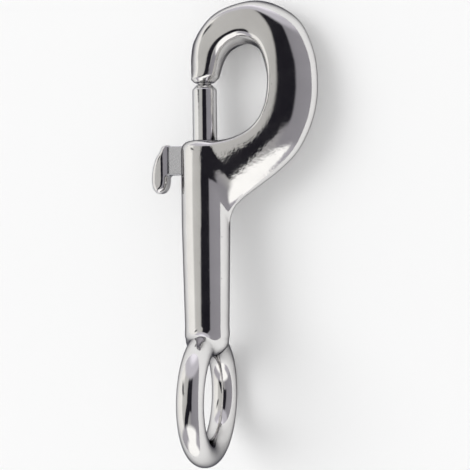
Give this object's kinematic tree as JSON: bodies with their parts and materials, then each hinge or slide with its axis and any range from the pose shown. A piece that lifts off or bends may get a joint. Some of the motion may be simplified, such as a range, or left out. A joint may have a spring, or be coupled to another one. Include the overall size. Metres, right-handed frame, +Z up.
{
  "type": "bolt snap hook",
  "caption": "Cast snap hook with a round stem, a spring-loaded sliding bolt gate with a thumb knob, and a rigid round eye set square to the hook.",
  "frame": {"origin": "centre of the footprint on the ground, the hook lying on its eye's rim and the side of its bow", "axes": "+Y along the stem from the eye to the hook, +X towards the hook's back, +Z up"},
  "size_m": [0.0334, 0.09, 0.027],
  "materials": {
    "body_plating": "bright nickel plate over zinc die casting, smooth with faint casting ripple",
    "bolt_plating": "bright nickel plate over turned steel",
    "knob_plating": "bright nickel plate on the pad, duller as-cast plate on the arm",
    "spring_wire": "plain spring steel wire"
  },
  "bodies": {
    "hook": {"hook_body": "body_plating", "spring": "spring_wire"},
    "gate": {"bolt": "bolt_plating", "thumb_knob": "knob_plating"}
  },
  "joints": [
    {"name": "bolt_slide", "type": "slide", "parent": "hook", "child": "gate", "axis": [0, 0.9925, -0.122], "range_m": [-0.0104, 0], "stiffness_N_per_m": 400, "springref_m": 0.012, "deforming": ["spring"]}
  ]
}
